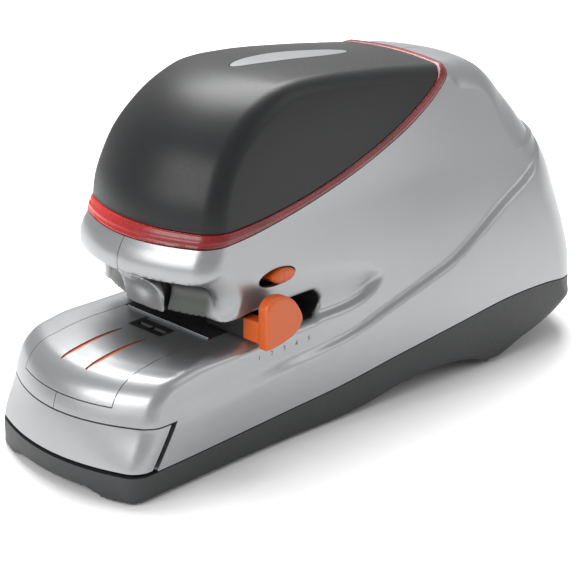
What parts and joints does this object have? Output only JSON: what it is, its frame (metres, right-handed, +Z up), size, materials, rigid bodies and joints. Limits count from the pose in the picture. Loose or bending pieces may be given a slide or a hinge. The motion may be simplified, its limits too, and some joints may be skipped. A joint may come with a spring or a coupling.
{
  "type": "electric stapler",
  "caption": "Electric desk stapler: silver C-shaped housing, black cap with red light band, orange depth guide, front-loading magazine and pull-out drawer.",
  "frame": {"origin": "under the middle of the object's bounding box, on the surface that it stands on", "axes": "+Y from the stapling mouth to the rear, +X to the side of the depth guide, +Z up"},
  "size_m": [0.0928, 0.2488, 0.1288],
  "materials": {
    "silver_paint": "satin silver lacquer on moulded plastic",
    "black_cover": "soft satin black",
    "base_grey": "fine matt dark grey",
    "red_lens": "translucent red",
    "orange": "satin orange",
    "rubber": "matt black",
    "steel": "zinc plated sheet",
    "hard_steel": "ground hardened steel",
    "white_acetal": "natural acetal",
    "dark_plastic": "black moulded plastic",
    "board": "green circuit board",
    "brass": "sintered bearing bronze",
    "grey_plastic": "grey moulded plastic",
    "lamp": "clear red lamp"
  },
  "bodies": {
    "root": {"base_tray": "base_grey", "rubber_feet": "rubber", "base_screws": "steel", "housing_left": "silver_paint", "housing_right": "silver_paint", "top_cover": "black_cover", "light_band": "red_lens", "table_plate": "silver_paint", "guide_marks": "orange", "chassis_left": "steel", "chassis_right": "steel", "tie_rods": "steel", "lever_pin": "hard_steel", "anvil_pin": "hard_steel", "idler_pin": "hard_steel", "cam_bushes": "brass", "frame_posts": "dark_plastic", "driver_guides": "dark_plastic", "rod_bracket": "dark_plastic", "latch_pin": "steel", "switch_body": "dark_plastic", "button_spring": "steel", "button_switch": "dark_plastic", "control_board": "board", "motor": "steel", "motor_cradle": "dark_plastic", "power_board": "board", "board_posts": "dark_plastic", "capacitor": "dark_plastic", "power_socket": "dark_plastic", "lamp_board": "board", "lamps": "lamp"},
    "drawer": {"drawer_front": "silver_paint", "drawer_tray": "dark_plastic", "spare_staples": "steel"},
    "magazine": {"magazine_body": "dark_plastic", "magazine_front": "silver_paint", "staple_strip": "steel"},
    "pusher": {"pusher": "dark_plastic", "pusher_coil": "steel"},
    "magazine_latch": {"magazine_latch": "grey_plastic"},
    "depth_guide": {"depth_guide": "orange"},
    "mode_switch": {"mode_switch": "orange"},
    "trigger_button": {"trigger_button": "silver_paint"},
    "cam_drive": {"cam_gear": "white_acetal", "cam": "hard_steel", "cam_shaft": "hard_steel"},
    "idler": {"idler_gear": "white_acetal"},
    "motor_rotor": {"motor_shaft": "hard_steel", "motor_pinion": "brass"},
    "drive_lever": {"drive_lever": "steel"},
    "driver": {"driver_block": "hard_steel", "driver_blade": "hard_steel"},
    "lift_rod": {"lift_rod": "steel"},
    "anvil_lever": {"anvil_lever": "steel", "anvil": "hard_steel"}
  },
  "joints": [
    {"name": "drawer_slide", "type": "slide", "parent": "root", "child": "drawer", "axis": [0, -1, 0], "range_m": [0, 0.06]},
    {"name": "magazine_slide", "type": "slide", "parent": "root", "child": "magazine", "axis": [0, -1, 0], "range_m": [0, 0.07]},
    {"name": "pusher_slide", "type": "slide", "parent": "magazine", "child": "pusher", "axis": [0, 1, 0], "range_m": [0, 0.015], "stiffness_N_per_m": 60, "springref_m": -0.01},
    {"name": "latch_hinge", "type": "hinge", "parent": "root", "child": "magazine_latch", "pos_m": [0, 0.0005, 0.0608], "axis": [1, 0, 0], "range_deg": [0, 12], "stiffness_Nm_per_rad": 0.02, "springref_deg": -11.46},
    {"name": "depth_guide_slide", "type": "slide", "parent": "root", "child": "depth_guide", "axis": [0, 1, 0], "range_m": [0, 0.025]},
    {"name": "mode_switch_slide", "type": "slide", "parent": "root", "child": "mode_switch", "axis": [0, -1, 0], "range_m": [0, 0.005]},
    {"name": "trigger_press", "type": "slide", "parent": "root", "child": "trigger_button", "axis": [0, 0, -1], "range_m": [0, 0.002], "stiffness_N_per_m": 800, "springref_m": -0.0006, "deforming": ["button_spring"]},
    {"name": "cam_turn", "type": "hinge", "parent": "root", "child": "cam_drive", "pos_m": [0, -0.015, 0.0828], "axis": [1, 0, 0], "range_deg": [0, 150]},
    {"name": "idler_turn", "type": "hinge", "parent": "root", "child": "idler", "pos_m": [0, 0.012, 0.06658], "axis": [1, 0, 0], "range_deg": [-601, 1]},
    {"name": "motor_turn", "type": "hinge", "parent": "root", "child": "motor_rotor", "pos_m": [0, 0.03399, 0.0494], "axis": [1, 0, 0], "range_deg": [-1, 2501]},
    {"name": "drive_lever_swing", "type": "hinge", "parent": "root", "child": "drive_lever", "pos_m": [0, 0.04, 0.0768], "axis": [1, 0, 0], "range_deg": [0, 6.61]},
    {"name": "driver_slide", "type": "slide", "parent": "root", "child": "driver", "axis": [0, 0, -1], "range_m": [0, 0.01312]},
    {"name": "lift_rod_slide", "type": "slide", "parent": "root", "child": "lift_rod", "axis": [0, 0, -1], "range_m": [0, 0.0037]},
    {"name": "anvil_lever_swing", "type": "hinge", "parent": "root", "child": "anvil_lever", "pos_m": [0, -0.029, 0.0318], "axis": [-1, 0, 0], "range_deg": [0, 5.72]}
  ],
  "couplings": [
    {"joint": "idler_turn", "follows": "cam_turn", "ratio": -4},
    {"joint": "motor_turn", "follows": "cam_turn", "ratio": 16.667},
    {"joint": "drive_lever_swing", "follows": "cam_turn", "ratio": 0.044},
    {"joint": "driver_slide", "follows": "cam_turn", "m_per_rad": 0.0050072},
    {"joint": "lift_rod_slide", "follows": "cam_turn", "m_per_rad": 0.001408},
    {"joint": "anvil_lever_swing", "follows": "cam_turn", "ratio": 0.038054}
  ]
}
